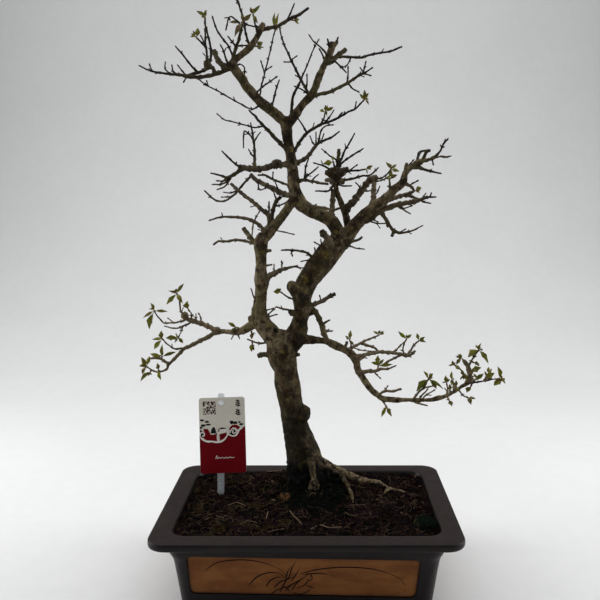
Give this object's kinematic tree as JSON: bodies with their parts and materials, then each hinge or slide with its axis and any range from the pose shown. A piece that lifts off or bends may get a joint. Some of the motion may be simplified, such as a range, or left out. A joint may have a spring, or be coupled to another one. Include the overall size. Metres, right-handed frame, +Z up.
{
  "type": "trident maple bonsai",
  "caption": "Trident maple bonsai with a forked trunk, open twiggy branches and young leafy shoots, in a rectangular clay pot with a plant label.",
  "frame": {"origin": "on the surface that the pot stands on, under the middle of the whole object's bounding box", "axes": "+Z up, +X along the pot's long side to the right as seen from its front, +Y away from the front"},
  "size_m": [0.4223, 0.231, 0.6639],
  "materials": {
    "pot": "matte unglazed dark clay",
    "soil": "moist dark peat, rough",
    "wood": "grey-brown bark, rough",
    "leaf": "young leaves, satin",
    "moss": "dark moss, rough",
    "card": "printed plastic card, satin",
    "stake": "translucent grey-blue plastic",
    "screen": "black plastic mesh"
  },
  "bodies": {
    "root": {"drain_screen_left": "screen", "drain_screen_right": "screen", "label_card": "card", "label_stake": "stake", "moss_clump": "moss", "pot": "pot", "shoot_crown_01": "leaf", "shoot_crown_02": "leaf", "shoot_crown_03": "leaf", "shoot_crown_04": "leaf", "shoot_crown_05": "leaf", "shoot_crown_06": "leaf", "shoot_crown_07": "leaf", "shoot_crown_08": "leaf", "shoot_crown_09": "leaf", "shoot_crown_10": "leaf", "shoot_crown_11": "leaf", "shoot_crown_12": "leaf", "shoot_crown_13": "leaf", "shoot_crown_14": "leaf", "shoot_crown_15": "leaf", "shoot_low_left_01": "leaf", "shoot_low_left_02": "leaf", "shoot_low_left_03": "leaf", "shoot_low_left_04": "leaf", "shoot_low_left_05": "leaf", "shoot_low_left_06": "leaf", "shoot_low_left_07": "leaf", "shoot_low_left_08": "leaf", "shoot_low_left_09": "leaf", "shoot_low_left_10": "leaf", "shoot_low_left_11": "leaf", "shoot_low_left_12": "leaf", "shoot_low_right_01": "leaf", "shoot_low_right_02": "leaf", "shoot_low_right_03": "leaf", "shoot_low_right_04": "leaf", "shoot_low_right_05": "leaf", "shoot_low_right_06": "leaf", "shoot_low_right_07": "leaf", "shoot_low_right_08": "leaf", "shoot_low_right_09": "leaf", "shoot_low_right_10": "leaf", "shoot_low_right_11": "leaf", "shoot_low_right_12": "leaf", "shoot_low_right_13": "leaf", "shoot_low_right_14": "leaf", "shoot_low_right_15": "leaf", "shoot_low_right_16": "leaf", "shoot_low_right_17": "leaf", "shoot_low_right_18": "leaf", "shoot_low_right_19": "leaf", "shoot_low_right_20": "leaf", "shoot_low_right_21": "leaf", "shoot_low_right_22": "leaf", "shoot_low_right_23": "leaf", "shoot_low_right_24": "leaf", "soil": "soil", "wood": "wood"}
  },
  "joints": []
}
